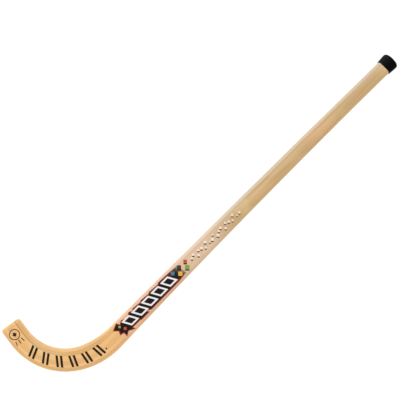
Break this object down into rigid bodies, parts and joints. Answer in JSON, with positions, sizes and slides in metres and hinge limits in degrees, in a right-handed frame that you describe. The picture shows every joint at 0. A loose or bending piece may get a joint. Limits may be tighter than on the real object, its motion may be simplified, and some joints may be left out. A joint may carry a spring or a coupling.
{
  "type": "rink hockey stick",
  "caption": "Rink hockey stick: a flat laminated wooden shaft bent into a long rounded hook, with a rubber butt cap and printed transfers.",
  "frame": {"origin": "on the flat back face, in the middle of the shaft's width, where the straight shaft ends and the hook begins", "axes": "+X along the shaft from the hook to the butt, +Y to the side that the toe turns to, +Z square out of the printed front face"},
  "size_m": [0.9837, 0.1998, 0.0207],
  "materials": {
    "bent_wood": "clear satin varnish",
    "cap_rubber": "smooth moulded rubber",
    "black_print": "ink film under varnish",
    "brown_print": "ink film under varnish",
    "panel_print": "ink film under varnish",
    "spark_print": "ink film under varnish"
  },
  "bodies": {
    "root": {"lath_01": "bent_wood", "lath_02": "bent_wood", "lath_03": "bent_wood", "lath_04": "bent_wood", "lath_05": "bent_wood", "lath_06": "bent_wood", "lath_07": "bent_wood", "lath_08": "bent_wood", "lath_09": "bent_wood", "lath_10": "bent_wood", "lath_11": "bent_wood", "lath_12": "bent_wood", "lath_13": "bent_wood", "lath_14": "bent_wood", "lath_15": "bent_wood", "butt_cap": "cap_rubber", "hook_marks": "black_print", "toe_roundel": "brown_print", "shaft_panel": "panel_print", "spark_trail": "spark_print"}
  },
  "joints": []
}
